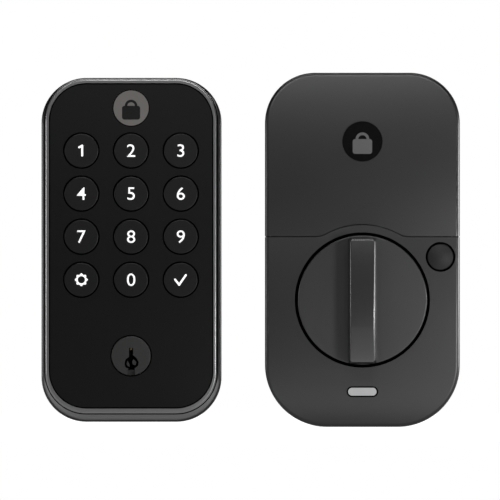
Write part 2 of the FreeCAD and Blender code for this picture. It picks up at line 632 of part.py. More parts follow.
def interior_chassis(idler, pinion):
    floor_y = CHASSIS_FLOOR_FRONT_Y
    axle_y = GEAR_BACK_Y + 0.5
    supports = [disc(x, z, 2.0, MAIN_BOARD_BACK_Y, floor_y) for x, z in MAIN_BOARD_PILLARS]
    supports.append(disc(BUTTON_X, BUTTON_Z, 2.8, BUTTON_BOARD_BACK_Y, floor_y))
    supports.append(disc(0, LENS_Z, 2.8, STATUS_BOARD_BACK_Y, floor_y))
    supports.append(disc(*idler, 3.0, axle_y, floor_y))
    supports.append(disc(*pinion, 2.4, axle_y, floor_y))
    body = union([chassis()] + supports)
    body = body.cut(disc(*idler, IDLER_AXLE_R + RUNNING_GAP, axle_y, floor_y + 1.0))
    body = body.cut(disc(*pinion, MOTOR_SHAFT_R + RUNNING_GAP, axle_y, floor_y + 1.0))
    for x, z in CHASSIS_SCREWS:
        body = body.cut(disc(x, z, 1.4, floor_y, -MOUNTING_PLATE_THICK))
    return body


def mounting_plate():
    plate = slab(MOUNTING_PLATE_OUTLINE, -MOUNTING_PLATE_THICK, 0.0)
    plate = plate.cut(disc(0, 0, 9.0, -MOUNTING_PLATE_THICK, 0.0))
    plate = plate.cut(slab(CABLE_WINDOW, -MOUNTING_PLATE_THICK, 0.0))
    for x in (-POST_SPACING / 2, POST_SPACING / 2):
        plate = plate.cut(disc(x, 0, THROUGH_BOLT_R, -MOUNTING_PLATE_THICK, 0.0))
    for x, z in CHASSIS_SCREWS:
        plate = plate.cut(disc(x, z, 1.4, -MOUNTING_PLATE_THICK, 0.0))
    return plate


def paddle_grip():
    """Upright grip: sides that taper to the front, an arched front and rounded edges."""
    half_foot, foot_low, foot_high = PADDLE_FOOT[0] / 2, PADDLE_FOOT[1], PADDLE_FOOT[2]
    half_front, front_low, front_high = PADDLE_FRONT[0] / 2, PADDLE_FRONT[1], PADDLE_FRONT[2]
    ends_y = PADDLE_FRONT_Y + PADDLE_CROWN
    across = [(-half_foot, DISC_FRONT_Y), (half_foot, DISC_FRONT_Y)]
    across += [(half_front, PADDLE_FRONT_Y), (-half_front, PADDLE_FRONT_Y)]
    corners = [V(x, y, -40) for x, y in across]
    taper = Part.Face(Part.makePolygon(corners + corners[:1])).extrude(V(0, 0, 80))
    low, high = V(-20, ends_y, front_low), V(-20, ends_y, front_high)
    arc = Part.Arc(low, V(-20, PADDLE_FRONT_Y, (front_low + front_high) / 2), high).toShape()
    foot = [high, V(-20, DISC_FRONT_Y, foot_high), V(-20, DISC_FRONT_Y, foot_low), low]
    sides = [Part.LineSegment(a, b).toShape() for a, b in zip(foot, foot[1:])]
    solid = taper.common(Part.Face(Part.Wire([arc] + sides)).extrude(V(40, 0, 0)))
    upright = [e for e in solid.Edges if e.BoundBox.YLength > 8.0]
    solid = solid.makeFillet(PADDLE_CORNER_R, upright)
    rim = [e for e in solid.Edges if e.BoundBox.YMax < PADDLE_FRONT_Y + 3.0]
    return solid.makeFillet(PADDLE_EDGE_ROUND, rim)


def thumbturn():
    knob = round_front(disc(0, 0, DISC_R, DISC_FRONT_Y, DISC_BACK_Y), DISC_FRONT_Y, 0.4)
    paddle = paddle_grip()
    slot_w, slot_h, slot_depth = HUB_SLOT
    hub = union([
        disc(0, 0, HUB_R, DISC_BACK_Y, -5.0),
        disc(0, 0, HUB_FLANGE_R, COVER_CAVITY_FRONT_Y + 0.2, COVER_CAVITY_FRONT_Y + 1.6),
        disc(0, 0, JOURNAL_R, -5.0, -1.0),
    ])
    hub = hub.cut(block(-slot_w / 2, slot_w / 2, -1.0 - slot_depth, -1.0, -slot_h / 2, slot_h / 2))
    return {"thumbturn_disc": knob, "thumbturn_paddle": paddle, "thumbturn_hub": hub}


def gear_train(idler, idler_phase, pinion, pinion_phase):
    gears = (GEAR_FRONT_Y, GEAR_BACK_Y)
    plate_ys = (GEARBOX_PLATE_FRONT_Y, GEARBOX_PLATE_BACK_Y)
    output = gear(OUTPUT_TEETH, 0, 0, IDLER_DIRECTION, HUB_R + 0.02, *gears)
    idler_gear = union([
        gear(IDLER_TEETH, *idler, idler_phase, 0, *gears),
        disc(*idler, IDLER_AXLE_R, GEARBOX_PLATE_FRONT_Y, CHASSIS_FLOOR_FRONT_Y + 0.9),
    ])
    motor_pinion = union([
        gear(PINION_TEETH, *pinion, pinion_phase, 0, *gears),
        disc(*pinion, MOTOR_SHAFT_R, GEARBOX_PLATE_FRONT_Y - 3.0, CHASSIS_FLOOR_FRONT_Y + 0.9),
    ])
    plate = union([disc(x, z, 4.5, *plate_ys) for x, z in GEARBOX_PILLARS] + [
        disc(0, 0, 21.0, *plate_ys),
        disc(*idler, 13.0, *plate_ys),
        disc(*pinion, MOTOR_R, *plate_ys),
    ] + [disc(x, z, 2.2, GEARBOX_PLATE_BACK_Y, CHASSIS_FLOOR_FRONT_Y) for x, z in GEARBOX_PILLARS])
    plate = plate.cut(disc(0, 0, HUB_R + RUNNING_GAP, *plate_ys))
    plate = plate.cut(disc(*idler, IDLER_AXLE_R + RUNNING_GAP, *plate_ys))
    plate = plate.cut(disc(*pinion, MOTOR_SHAFT_R + 0.6, *plate_ys))
    motor = disc(*pinion, MOTOR_R, MOTOR_FRONT_Y, GEARBOX_PLATE_FRONT_Y)
    motor = round_front(motor, MOTOR_FRONT_Y, 0.8)
    bore_r = MOTOR_SHAFT_R + RUNNING_GAP
    shaft_hole = disc(*pinion, bore_r, GEARBOX_PLATE_FRONT_Y - 3.1, GEARBOX_PLATE_FRONT_Y)
    return {
        "output_gear": output,
        "idler_gear": idler_gear,
        "motor_pinion": motor_pinion,
        "gearbox_plate": plate,
        "motor": motor.cut(shaft_hole),
    }


def cell_positions():
    """Yields each cell's x and whether its nub points up."""
    for index in range(CELL_COUNT):
        yield (index - (CELL_COUNT - 1) / 2) * CELL_PITCH, index % 2 == 0


def battery_parts():
    wall = TRAY_WALL
    low, high = TRAY_BOTTOM_Z + wall, TRAY_TOP_Z - wall
    tray = block(-TRAY_HALF_W, TRAY_HALF_W, TRAY_FRONT_Y, TRAY_BACK_Y, TRAY_BOTTOM_Z, TRAY_TOP_Z)
    inside = TRAY_HALF_W - wall
    tray = tray.cut(block(-inside, inside, TRAY_FRONT_Y, CELL_AXIS_Y + CELL_R + 0.1, low, high))
    ribs = []
    for index in range(1, CELL_COUNT):
        x = (index - CELL_COUNT / 2) * CELL_PITCH
        ribs.append(block(x - 0.4, x + 0.4, CELL_AXIS_Y + 5.0, CELL_AXIS_Y + CELL_R + 0.1, low + 6, high - 6))
    feet = [disc(x, z, 1.4, TRAY_BACK_Y, CHASSIS_FLOOR_FRONT_Y) for x in (-29.2, 29.2) for z in (40.0, 78.0)]
    tray = union([tray] + ribs + feet)
    cells, contacts, springs = [], [], []
    total = CELL_BODY_LENGTH + CELL_NUB_LENGTH
    for x, nub_up in cell_positions():
        foot = high - CONTACT_T - total if nub_up else low + CONTACT_T
        body_z = foot if nub_up else foot + CELL_NUB_LENGTH
        nub_z = foot + CELL_BODY_LENGTH if nub_up else foot
        body = Part.makeCylinder(CELL_R, CELL_BODY_LENGTH, V(x, CELL_AXIS_Y, body_z))
        nub = Part.makeCylinder(CELL_NUB_R, CELL_NUB_LENGTH, V(x, CELL_AXIS_Y, nub_z))
        cells.append(body.makeFillet(0.5, [e for e in body.Edges if len(e.Vertexes) == 1]).fuse(nub))
        spring_low = low + CONTACT_T if nub_up else foot + total
        spring_high = foot if nub_up else high - CONTACT_T
        springs.append(coil(x, CELL_AXIS_Y, spring_low, spring_high, 2.4, 0.35, 3))
        for z in (low, high - CONTACT_T):
            contacts.append(block(x - 5.5, x + 5.5, CELL_AXIS_Y - 5.0, CELL_AXIS_Y + 5.0, z, z + CONTACT_T))
    return {
        "battery_tray": tray,
        "battery_cells": Part.makeCompound(cells),
        "battery_contacts": Part.makeCompound(contacts),
        "battery_springs": Part.makeCompound(springs),
    }


def interior_boards():
    floor_y, front = MAIN_BOARD_FRONT_Y, BUTTON_BOARD_FRONT_Y
    board = slab(MAIN_BOARD_OUTLINE, floor_y, MAIN_BOARD_BACK_Y)
    chips = union([
        block(-8, 2, floor_y - 1.2, floor_y, 55, 65),
        block(6, 12, floor_y - 0.9, floor_y, 50, 57),
        block(-20, -12, floor_y - 1.6, floor_y, 40, 46),
        block(14, 22, floor_y - 1.6, floor_y, 72, 78),
        disc(-17, 70, 4.5, floor_y - 1.8, floor_y),
    ])
    button_shape = (11.0, BUTTON_Z - 5.5, BUTTON_Z + 5.5, 1.0, 1.0)
    button_board = slab(button_shape, front, BUTTON_BOARD_BACK_Y, BUTTON_X)
    switch = block(BUTTON_X - 3, BUTTON_X + 3, front - 2.0, front, BUTTON_Z - 3, BUTTON_Z + 3)
    switch = union([switch, disc(BUTTON_X, BUTTON_Z, 1.5, front - 2.6, front - 2.0)])
    status_front = STATUS_BOARD_FRONT_Y
    status_board = slab((16.0, LENS_Z - 4, LENS_Z + 4, 1.0, 1.0), status_front, STATUS_BOARD_BACK_Y)
    led_low, led_high = LENS_Z - 0.6, LENS_Z + 0.6
    leds = [block(x - 1, x + 1, status_front - 0.8, status_front, led_low, led_high) for x in (-3, 3)]
    lens_radius = LENS_H / 2 - 0.01
    lens_shape = (LENS_W, LENS_Z - LENS_H / 2, LENS_Z + LENS_H / 2, lens_radius, lens_radius)
    lens = union([
        slab(lens_shape, -31.3, COVER_CAVITY_FRONT_Y),
        slab(lens_shape, COVER_CAVITY_FRONT_Y, COVER_CAVITY_FRONT_Y + 1.0, grow=1.6),
    ])
    return {
        "main_board": board,
        "main_board_chips": chips,
        "side_boards": Part.makeCompound([button_board, status_board]),
        "privacy_switch": switch,
        "status_leds": Part.makeCompound(leds),
        "status_lens": lens,
    }


def privacy_button():
    wall_back = COVER_CAVITY_FRONT_Y
    cap = disc(BUTTON_X, BUTTON_Z, BUTTON_R, BUTTON_FRONT_Y, wall_back + 0.2)
    cap = cap.common(Part.makeSphere(BUTTON_DOME_R, V(BUTTON_X, BUTTON_FRONT_Y + BUTTON_DOME_R, BUTTON_Z)))
    flange = disc(BUTTON_X, BUTTON_Z, BUTTON_HOLE_R + 0.5, wall_back + 0.2, wall_back + 1.2)
    side_wall = COVER_CAVITY[0] / 2 - 0.3
    flange = flange.cut(block(side_wall, side_wall + 5.0, -40, 0, 0, 40))
    stem = disc(BUTTON_X, BUTTON_Z, 2.0, wall_back + 1.2, -24.0)
    collar = ring(BUTTON_X, BUTTON_Z, BUTTON_HOLE_R, BUTTON_R + 0.3, -31.0, wall_back)
    return {"privacy_button": union([cap, flange, stem]), "privacy_button_collar": collar}


def interior_screws():
    floor_y = CHASSIS_FLOOR_FRONT_Y
    length = -floor_y - 0.4
    return Part.makeCompound([cap_screw(x, z, floor_y, length, 1.4, 2.7, 1.8) for x, z in CHASSIS_SCREWS])


def interior_parts():
    idler, idler_phase, pinion, pinion_phase = meshing_centres()
    parts = {
        "mounting_plate": mounting_plate(),
        "interior_chassis": interior_chassis(idler, pinion),
        "interior_cover": interior_cover(),
        "battery_cover": battery_cover(),
        "battery_cover_badge": disc(0, DOOR_BADGE_Z, DOOR_BADGE_R, COVER_FRONT_Y - 0.1, COVER_FRONT_Y + 0.6),
        "interior_screws": interior_screws(),
    }
    parts.update(thumbturn())
    parts.update(gear_train(idler, idler_phase, pinion, pinion_phase))
    parts.update(battery_parts())
    parts.update(interior_boards())
    parts.update(privacy_button())
    for shape in parts.values():
        shape.translate(V(THUMBTURN_X, 0, THUMBTURN_Z))
    return parts


def main():
    os.makedirs("parts", exist_ok=True)
    parts = exterior_parts()
    parts.update(interior_parts())
    for name, shape in parts.items():
        shape.exportStep("parts/" + name + ".step")
    print(len(parts), "parts written")


main()
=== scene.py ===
import json
import math

import bmesh
import bpy
from mathutils import Matrix, Vector


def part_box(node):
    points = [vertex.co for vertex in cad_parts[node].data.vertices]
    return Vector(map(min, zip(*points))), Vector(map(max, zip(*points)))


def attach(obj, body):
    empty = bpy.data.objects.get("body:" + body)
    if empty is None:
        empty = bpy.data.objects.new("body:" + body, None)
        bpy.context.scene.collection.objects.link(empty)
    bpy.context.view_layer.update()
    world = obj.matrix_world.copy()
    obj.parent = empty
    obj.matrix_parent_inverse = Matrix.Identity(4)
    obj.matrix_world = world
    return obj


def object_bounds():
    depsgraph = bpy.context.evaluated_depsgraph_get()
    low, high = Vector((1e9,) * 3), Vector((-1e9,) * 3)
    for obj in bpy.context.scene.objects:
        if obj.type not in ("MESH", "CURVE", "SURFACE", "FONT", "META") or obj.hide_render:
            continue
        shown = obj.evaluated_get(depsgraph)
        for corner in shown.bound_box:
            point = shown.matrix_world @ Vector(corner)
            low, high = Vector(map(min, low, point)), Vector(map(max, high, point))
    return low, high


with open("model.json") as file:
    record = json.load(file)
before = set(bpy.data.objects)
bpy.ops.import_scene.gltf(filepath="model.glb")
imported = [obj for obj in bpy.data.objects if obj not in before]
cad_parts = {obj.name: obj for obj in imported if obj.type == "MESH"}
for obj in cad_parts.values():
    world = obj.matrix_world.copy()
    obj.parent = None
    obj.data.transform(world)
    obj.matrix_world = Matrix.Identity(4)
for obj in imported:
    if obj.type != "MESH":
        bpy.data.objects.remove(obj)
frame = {"nodes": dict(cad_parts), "record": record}
cad_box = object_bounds()

MM = 0.001
BACK = Vector((0, 1, 0))


# ---- Camera, floor and studio light ----
CAMERA_PLACE = (50.0 * MM, -5.91, 44.5 * MM)
CAMERA_LENS = 1008.0
CAMERA_REACH = 30.0
LIGHT_AIM = Vector((0.05, -0.02, 0.045))
FLOOR_HALF_SIZE = 0.45
FLOOR_DROP = 0.0002


def place_camera():
    """A very long lens, level with the middle of both halves and square to their fronts."""
    data = bpy.data.cameras.new("camera")
    data.lens = CAMERA_LENS
    data.clip_end = CAMERA_REACH
    camera = bpy.data.objects.new("camera", data)
    camera.location = CAMERA_PLACE
    camera.rotation_euler = (math.radians(90), 0, 0)
    bpy.context.scene.collection.objects.link(camera)
    bpy.context.scene.camera = camera


def soft_light(name, place, size, power, aim=LIGHT_AIM):
    """A rectangular softbox of that width and height, facing the point it is aimed at."""
    data = bpy.data.lights.new(name, "AREA")
    data.shape = "RECTANGLE"
    data.size, data.size_y = size
    data.energy = power
    light = bpy.data.objects.new(name, data)
    light.location = place
    light.rotation_euler = (Vector(aim) - Vector(place)).to_track_quat("-Z", "Y").to_euler()
    bpy.context.scene.collection.objects.link(light)


def strength_by_view(nodes, links, socket, seen, cast):
    """Gives a strength one value where the camera sees it and another for the light it casts."""
    path = nodes.new("ShaderNodeLightPath")
    strength = nodes.new("ShaderNodeMapRange")
    strength.inputs["To Min"].default_value = cast
    strength.inputs["To Max"].default_value = seen
    links.new(path.outputs["Is Camera Ray"], strength.inputs["Value"])
    links.new(strength.outputs["Result"], socket)


def light_studio():
    """Softboxes above, at the sides, low at the right and behind, in a white room that casts little."""
    soft_light("top_softbox", (0.09, -0.60, 0.34), (0.30, 0.08), 1.35, aim=(0.09, -0.03, 0.08))
    soft_light("upper_left_softbox", (-0.12, -0.50, 0.30), (0.10, 0.10), 0.22)
    soft_light("low_right_softbox", (0.24, -0.34, 0.0), (0.05, 0.04), 0.42, aim=(0.13, -0.03, 0.0))
    soft_light("left_front_softbox", (-0.40, -0.45, 0.10), (0.1, 0.2), 0.08)
    soft_light("right_front_softbox", (0.50, -0.45, 0.10), (0.1, 0.2), 0.14)
    soft_light("right_softbox", (0.60, -0.04, 0.05), (0.3, 0.12), 2.3)
    soft_light("left_softbox", (-0.50, -0.05, 0.05), (0.3, 0.12), 0.75)
    soft_light("high_softbox", (0.05, -0.15, 0.60), (0.6, 0.1), 1.1)
    soft_light("floor_card", (0.097, -0.11, -0.0292), (0.13, 0.10), 0.045, aim=(0.097, -0.11, 1.0))
    soft_light("back_softbox", (0.1, 0.7, 0.45), (0.8, 0.4), 3.0)
    world = bpy.data.worlds.new("studio")
    world.use_nodes = True
    nodes, links = world.node_tree.nodes, world.node_tree.links
    background = nodes["Background"]
    background.inputs["Color"].default_value = (1, 1, 1, 1)
    strength_by_view(nodes, links, background.inputs["Strength"], seen=1.0, cast=0.01)
    bpy.context.scene.world = world
    bpy.context.scene.view_settings.view_transform = "Standard"


def lay_floor():
    """A pale floor just under the lowest point of both halves."""
    bm = bmesh.new()
    bmesh.ops.create_grid(bm, x_segments=1, y_segments=1, size=FLOOR_HALF_SIZE)
    bmesh.ops.translate(bm, vec=(CAMERA_PLACE[0], 0, cad_box[0][2] - FLOOR_DROP), verts=bm.verts)
    mesh = bpy.data.meshes.new("floor")
    bm.to_mesh(mesh)
    bm.free()
    floor = bpy.data.objects.new("floor", mesh)
    bpy.context.scene.collection.objects.link(floor)
    paint = bpy.data.materials.new("floor_pale")
    paint.use_nodes = True
    nodes, links = paint.node_tree.nodes, paint.node_tree.links
    shader = nodes["Principled BSDF"]
    shader.inputs["Base Color"].default_value = (0.35, 0.35, 0.35, 1)
    shader.inputs["Roughness"].default_value = 0.9
    shader.inputs["Specular IOR Level"].default_value = 0.0
    shader.inputs["Emission Color"].default_value = (1, 1, 1, 1)
    strength_by_view(nodes, links, shader.inputs["Emission Strength"], seen=0.95, cast=0.30)
    mesh.materials.append(paint)


# ---- Finishes ----
SLOW_CLOUD = 35.0        # noise scale of the slow changes of tone


def new_finish(name, metallic=0.0, coat=0.0, specular=0.5):
    """A new material with the values that are the same all over a surface."""
    material = bpy.data.materials.new(name)
    material.use_nodes = True
    nodes, links = material.node_tree.nodes, material.node_tree.links
    shader = nodes["Principled BSDF"]
    shader.inputs["Metallic"].default_value = metallic
    shader.inputs["Coat Weight"].default_value = coat
    shader.inputs["Specular IOR Level"].default_value = specular
    return material, nodes, links, shader


def object_place(nodes, links, stretch=(1, 1, 1)):
    """Object coordinates, stretched along an axis where a finish is brushed."""
    place = nodes.new("ShaderNodeTexCoord")
    turned = nodes.new("ShaderNodeMapping")
    turned.inputs["Scale"].default_value = stretch
    links.new(place.outputs["Object"], turned.inputs["Vector"])
    return turned.outputs["Vector"]


def noise(nodes, links, vector, scale, detail):
    """Soft random clouds between 0 and 1."""
    cloud = nodes.new("ShaderNodeTexNoise")
    cloud.inputs["Scale"].default_value = scale
    cloud.inputs["Detail"].default_value = detail
    links.new(vector, cloud.inputs["Vector"])
    return cloud.outputs["Fac"]


def tone_ramp(nodes, links, value, dark, light):
    """A colour that goes from dark to light over the middle of a value's range."""
    ramp = nodes.new("ShaderNodeValToRGB")
    ramp.color_ramp.elements[0].position = 0.3
    ramp.color_ramp.elements[1].position = 0.7
    ramp.color_ramp.elements[0].color = (*dark, 1)
    ramp.color_ramp.elements[1].color = (*light, 1)
    links.new(value, ramp.inputs["Fac"])
    return ramp.outputs["Color"]


def finish(name, colour, roughness, metallic=0.0, grain=400.0, relief=0.00001, tone=0.08, spread=0.04,
           coat=0.0, specular=0.5, stretch=(1, 1, 1), glow=0.0):
    """A finish with slow changes of tone, a slightly uneven gloss and a fine surface grain.

    tone is the share by which the colour varies, spread is how far the roughness varies, grain is the
    noise scale of the surface's texture, and relief is that texture's height in metres.
    """
    material, nodes, links, shader = new_finish(name, metallic, coat, specular)
    shader.inputs["Emission Color"].default_value = (1, 1, 1, 1)
    shader.inputs["Emission Strength"].default_value = glow
    vector = object_place(nodes, links, stretch)
    slow = noise(nodes, links, vector, SLOW_CLOUD, 3.0)
    fine = noise(nodes, links, vector, grain, 4.0)
    dark = [c * (1 - tone) for c in colour]
    light = [min(c * (1 + tone), 1.0) for c in colour]
    links.new(tone_ramp(nodes, links, slow, dark, light), shader.inputs["Base Color"])
    shader.inputs["Roughness"].default_value = roughness
    if spread:
        gloss = nodes.new("ShaderNodeMapRange")
        gloss.inputs["To Min"].default_value = roughness - spread
        gloss.inputs["To Max"].default_value = roughness + spread
        links.new(fine, gloss.inputs["Value"])
        links.new(gloss.outputs["Result"], shader.inputs["Roughness"])
    if relief:
        bump = nodes.new("ShaderNodeBump")
        bump.inputs["Distance"].default_value = relief
        links.new(fine, bump.inputs["Height"])
        links.new(bump.outputs["Normal"], shader.inputs["Normal"])
    return material


def circuit_board(name):
    """Green solder mask over straight copper tracks."""
    material, nodes, links, shader = new_finish(name, coat=0.3)
    vector = object_place(nodes, links)
    flat = nodes.new("ShaderNodeMapping")
    flat.inputs["Rotation"].default_value = (math.radians(90), 0, 0)
    links.new(vector, flat.inputs["Vector"])
    tracks = nodes.new("ShaderNodeTexBrick")
    tracks.inputs["Scale"].default_value = 260.0
    tracks.inputs["Mortar Size"].default_value = 0.05
    tracks.inputs["Color1"].default_value = (0.008, 0.075, 0.028, 1)
    tracks.inputs["Color2"].default_value = (0.010, 0.095, 0.034, 1)
    tracks.inputs["Mortar"].default_value = (0.035, 0.19, 0.06, 1)
    links.new(flat.outputs["Vector"], tracks.inputs["Vector"])
    links.new(tracks.outputs["Color"], shader.inputs["Base Color"])
    shader.inputs["Roughness"].default_value = 0.3
    bump = nodes.new("ShaderNodeBump")
    bump.inputs["Distance"].default_value = 0.00003
    links.new(tracks.outputs["Fac"], bump.inputs["Height"])
    links.new(bump.outputs["Normal"], shader.inputs["Normal"])
    return material


CHARCOAL = finish("charcoal_satin_paint", (0.0085, 0.0085, 0.0088), 0.33, grain=2600.0, relief=0.000008)
KNOB_CHARCOAL = finish("knob_satin_paint", (0.014, 0.014, 0.0143), 0.34, grain=2600.0, relief=0.000006,
                       specular=0.55)
GRIP_CHARCOAL = finish("grip_polished_paint", (0.012, 0.012, 0.0122), 0.25, grain=2600.0,
                       relief=0.000003, specular=0.7, coat=0.2)
BUTTON_CHARCOAL = finish("button_matt_black", (0.007, 0.007, 0.0072), 0.5, grain=2200.0,
                         relief=0.000006, specular=0.22)
# The bezel is the charcoal paint of the housing. Its copy here is glossier and coated, and it is also about
# 25 times lighter and partly metallic: a painted highlight along the rim.
RIM_HIGHLIGHT_CHARCOAL = finish("polished_rim_painted_highlight", (0.21, 0.21, 0.212), 0.28, metallic=0.7, grain=600.0,
                      relief=0.0, tone=0.02, spread=0.0, coat=0.3)
# Near-black finish with no gloss, darker than any real rubber: it paints the shade inside narrow gaps.
PAINTED_SHADE_BLACK = finish("painted_gap_shade_black", (0.0006, 0.0006, 0.0006), 0.9, specular=0.0)
FACE_BLACK = finish("keypad_face_black", (0.0012, 0.0012, 0.0014), 0.36, grain=2600.0, relief=0.000006,
                    specular=0.22)
KEY_BLACK = finish("key_cap_black", (0.0022, 0.0022, 0.0024), 0.38, grain=2600.0, relief=0.000006,
                   specular=0.26)
BADGE_GREY = finish("badge_warm_grey", (0.115, 0.108, 0.103), 0.5, metallic=0.5, grain=1800.0)
BADGE_BLACK = finish("badge_black", (0.0012, 0.0012, 0.0012), 0.3, specular=0.1)
CYLINDER_DARK = finish("cylinder_dark_steel", (0.022, 0.022, 0.0215), 0.42, metallic=0.35, grain=1500.0,
                       specular=0.45)
BRASS = finish("raw_brass", (0.52, 0.40, 0.20), 0.4, metallic=1.0, tone=0.15)
ZINC = finish("zinc_plated_steel", (0.55, 0.55, 0.56), 0.35, metallic=1.0, tone=0.18, spread=0.08)
BRUSHED = finish("brushed_steel_bar", (0.5, 0.5, 0.5), 0.34, metallic=1.0, tone=0.2, spread=0.1,
                 stretch=(1, 0.05, 1))
SPRING_STEEL = finish("spring_steel", (0.6, 0.6, 0.6), 0.28, metallic=1.0)
RUBBER = finish("black_rubber", (0.012, 0.012, 0.012), 0.75, grain=1500.0, relief=0.00002)
MILKY = finish("milky_light_guide", (0.75, 0.77, 0.8), 0.4)
BOARD_GREEN = circuit_board("circuit_board_green")
CHIP_BLACK = finish("moulded_chip_black", (0.012, 0.012, 0.012), 0.55)
DOME_METAL = finish("switch_dome_metal", (0.7, 0.7, 0.68), 0.25, metallic=1.0)
LED_WHITE = finish("led_clear_white", (0.85, 0.85, 0.75), 0.25)
LENS_GREY = finish("status_lens_grey", (0.34, 0.34, 0.345), 0.35, grain=900.0)
INNER_PLASTIC = finish("moulded_black_plastic", (0.02, 0.02, 0.021), 0.5, relief=0.00002)
ACETAL = finish("natural_acetal", (0.75, 0.73, 0.67), 0.4)
MOTOR_CAN = finish("motor_can_plate", (0.58, 0.58, 0.6), 0.3, metallic=1.0)
CELL_STEEL = finish("cell_end_steel", (0.6, 0.6, 0.6), 0.3, metallic=1.0)
CELL_WRAP = finish("cell_wrap_blue", (0.012, 0.035, 0.15), 0.28, coat=0.5)
CELL_BAND = finish("cell_band_copper", (0.50, 0.24, 0.10), 0.3, metallic=0.7, coat=0.4)
SIGN_WHITE = finish("backlit_sign_white", (0.86, 0.86, 0.86), 0.5, tone=0.01, glow=0.35)
SIGN_BLACK = finish("sign_black", (0.002, 0.002, 0.002), 0.4, specular=0.2)
SIGN_GREY = finish("sign_grey", (0.055, 0.055, 0.055), 0.45)

SLOT_FINISH = {
    "charcoal_satin": CHARCOAL, "face_black": FACE_BLACK, "key_black": KEY_BLACK,
    "badge_grey": BADGE_GREY, "badge_black": BADGE_BLACK, "cylinder_dark": CYLINDER_DARK,
    "cylinder_brass": BRASS, "zinc_steel": ZINC, "spring_steel": SPRING_STEEL,
    "seal_rubber": RUBBER, "light_guide": MILKY, "board_green": BOARD_GREEN,
    "chip_black": CHIP_BLACK, "dome_metal": DOME_METAL, "led_white": LED_WHITE,
    "lens_grey": LENS_GREY, "inner_plastic": INNER_PLASTIC, "gear_white": ACETAL,
    "motor_can": MOTOR_CAN, "cell_wrap": CELL_STEEL,
}
NODE_FINISH = {
    "tailpiece": BRUSHED, "exterior_bezel": RIM_HIGHLIGHT_CHARCOAL,
    "thumbturn_disc": KNOB_CHARCOAL, "thumbturn_paddle": GRIP_CHARCOAL,
    # The collar round the privacy button is a real piece, but it gets the near-black finish that paints the
    # shade in its gap.
    "privacy_button": BUTTON_CHARCOAL, "privacy_button_collar": PAINTED_SHADE_BLACK,
}


def dress_cad_nodes():
    """Gives every CAD node its slot's finish, then the few nodes that have one of their own."""
    for part in frame["record"]["subparts"]:
        for slot in frame["nodes"][part["node"]].material_slots:
            slot.material = SLOT_FINISH[part["material_slot"]]
    for node, material in NODE_FINISH.items():
        for slot in frame["nodes"][node].material_slots:
            slot.material = material


# ---- Making pieces ----
def add_piece(name, bm, material, body):
    """Turns a finished bmesh into a piece that rides on a body."""
    mesh = bpy.data.meshes.new(name)
    bm.to_mesh(mesh)
    bm.free()
    mesh.materials.append(material)
    piece = bpy.data.objects.new(name, mesh)
    bpy.context.scene.collection.objects.link(piece)
    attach(piece, body)


def front_of(node):
    """The middle of a node's front."""
    low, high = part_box(node)
    return Vector(((low.x + high.x) / 2, low.y, (low.z + high.z) / 2))


def move(bm, place):
    bmesh.ops.translate(bm, vec=place, verts=bm.verts)


def stand_up(bm, thickness):
    """Stands a flat shape drawn on X-Y up to face the front, and thickens it evenly along Y."""
    bmesh.ops.rotate(bm, matrix=Matrix.Rotation(math.radians(90), 3, "X"), verts=bm.verts)
    new = bmesh.ops.extrude_face_region(bm, geom=bm.faces[:])["geom"]
    moved = [item for item in new if isinstance(item, bmesh.types.BMVert)]
    bmesh.ops.translate(bm, vec=(0, thickness, 0), verts=moved)
    bmesh.ops.translate(bm, vec=(0, -thickness / 2, 0), verts=bm.verts)
    bmesh.ops.recalc_face_normals(bm, faces=bm.faces)


def fill_between(bm):
    """Fills the band between two loops, one inside the other."""
    bmesh.ops.bridge_loops(bm, edges=bm.edges[:])


def merged(meshes):
    """One bmesh holding several, which are freed."""
    whole = bmesh.new()
    for bm in meshes:
        part = bpy.data.meshes.new("part")
        bm.to_mesh(part)
        bm.free()
        whole.from_mesh(part)
        bpy.data.meshes.remove(part)
    return whole


def rounded_panel(width, height, corner, segments):
    """A flat panel with round corners, centred on the origin."""
    bm = bmesh.new()
    bmesh.ops.create_grid(bm, x_segments=1, y_segments=1, size=0.5)
    bmesh.ops.scale(bm, vec=(width, height, 1), verts=bm.verts)
    bmesh.ops.bevel(bm, geom=bm.verts[:], offset=corner, offset_type="OFFSET", affect="VERTICES",
                    segments=segments, profile=0.5, material=-1)
    return bm


def lobed_loop(bm, radius, lobe=0.0, lobes=0):
    """Adds a circle that dips by the depth of a lobe between its round lobes."""
    for vert in bmesh.ops.create_circle(bm, segments=96, radius=radius)["verts"]:
        angle = math.atan2(vert.co.y, vert.co.x)
        vert.co *= 1 + lobe / radius * 0.5 * (math.cos(lobes * angle) - 1)


def long_loop(bm, width, height):
    """Adds a loop with two straight sides and round ends; equal width and height give a circle."""
    loop = bmesh.ops.create_circle(bm, segments=96, radius=height / 2)["verts"]
    right = [v for v in loop if v.co.x > 0]
    left = [v for v in loop if v.co.x <= 0]
    bmesh.ops.translate(bm, vec=((width - height) / 2, 0, 0), verts=right)
    bmesh.ops.translate(bm, vec=(-(width - height) / 2, 0, 0), verts=left)


def spun(profile, centre, axis, steps):
    """Turns a line of points all the way round an axis."""
    bm = bmesh.new()
    verts = [bm.verts.new(point) for point in profile]
    edges = [bm.edges.new(pair) for pair in zip(verts, verts[1:])]
    bmesh.ops.spin(bm, geom=verts + edges, cent=centre, axis=axis, angle=math.tau, steps=steps,
                   use_merge=True)
    bmesh.ops.recalc_face_normals(bm, faces=bm.faces)
    return bm


